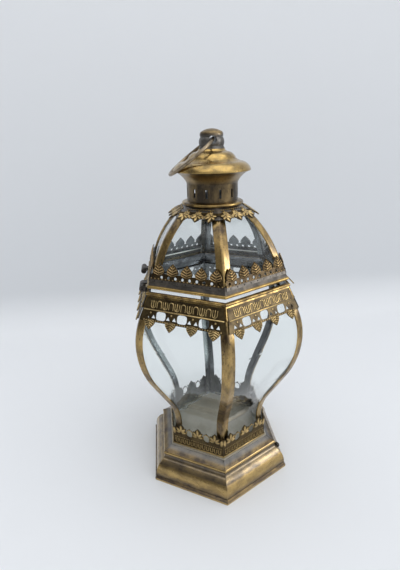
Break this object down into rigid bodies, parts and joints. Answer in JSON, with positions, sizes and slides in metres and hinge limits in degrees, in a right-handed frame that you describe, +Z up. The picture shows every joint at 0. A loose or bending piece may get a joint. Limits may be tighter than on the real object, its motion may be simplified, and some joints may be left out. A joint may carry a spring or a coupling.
{
  "type": "candle lantern",
  "caption": "Hexagonal metal and glass candle lantern with a stepped plinth, bulbous glazed body, hinged dome lid, vented chimney and carrying ring.",
  "frame": {"origin": "centre of the plinth's underside, on the surface the lantern stands on", "axes": "+Z up the lantern's axis; flat sides face +X and -X, the lid's hinge is on -X and its lift tab on +X; a corner faces -Y"},
  "size_m": [0.1568, 0.18, 0.3482],
  "materials": {
    "aged_gold": "antique gold rubbed over dark brown, worn to grey iron",
    "clear_glass": "clear bent window glass",
    "bare_steel": "tarnished",
    "grey_pan": "satin grey sheet"
  },
  "bodies": {
    "base": {"plinth_side_1": "aged_gold", "plinth_side_2": "aged_gold", "plinth_side_3": "aged_gold", "plinth_side_4": "aged_gold", "plinth_side_5": "aged_gold", "plinth_side_6": "aged_gold", "plinth_screw": "bare_steel", "floor_pan": "grey_pan", "gallery": "aged_gold", "body_pane_1": "clear_glass", "body_pane_2": "clear_glass", "body_pane_3": "clear_glass", "body_pane_4": "clear_glass", "body_pane_5": "clear_glass", "body_pane_6": "clear_glass", "body_rib_1": "aged_gold", "body_rib_2": "aged_gold", "body_rib_3": "aged_gold", "body_rib_4": "aged_gold", "body_rib_5": "aged_gold", "body_rib_6": "aged_gold", "body_collar": "aged_gold", "collar_lace_1": "aged_gold", "collar_lace_2": "aged_gold", "collar_lace_3": "aged_gold", "collar_lace_4": "aged_gold", "collar_lace_5": "aged_gold", "collar_lace_6": "aged_gold", "hinge_body_knuckles": "aged_gold", "hinge_pins": "bare_steel"},
    "lid": {"lid_frame": "aged_gold", "lid_crest_1": "aged_gold", "lid_crest_2": "aged_gold", "lid_crest_3": "aged_gold", "lid_crest_4": "aged_gold", "lid_crest_5": "aged_gold", "lid_crest_6": "aged_gold", "dome_pane_1": "clear_glass", "dome_pane_2": "clear_glass", "dome_pane_3": "clear_glass", "dome_pane_4": "clear_glass", "dome_pane_5": "clear_glass", "dome_pane_6": "clear_glass", "dome_rib_1": "aged_gold", "dome_rib_2": "aged_gold", "dome_rib_3": "aged_gold", "dome_rib_4": "aged_gold", "dome_rib_5": "aged_gold", "dome_rib_6": "aged_gold", "crown": "aged_gold", "crown_leaves": "aged_gold", "chimney_flange": "aged_gold", "chimney": "aged_gold", "vent_cap": "aged_gold", "finial": "aged_gold", "hinge_lid_knuckles": "aged_gold", "lift_tab": "aged_gold"},
    "ring": {"carrying_ring": "aged_gold"}
  },
  "joints": [
    {"name": "lid_hinge", "type": "hinge", "parent": "base", "child": "lid", "pos_m": [-0.06866, 0, 0.21604], "axis": [0, -1, 0], "range_deg": [0, 165]},
    {"name": "ring_swing", "type": "hinge", "parent": "lid", "child": "ring", "pos_m": [0, 0, 0.33905], "axis": [0, 1, 0], "range_deg": [0, 253.7]}
  ]
}
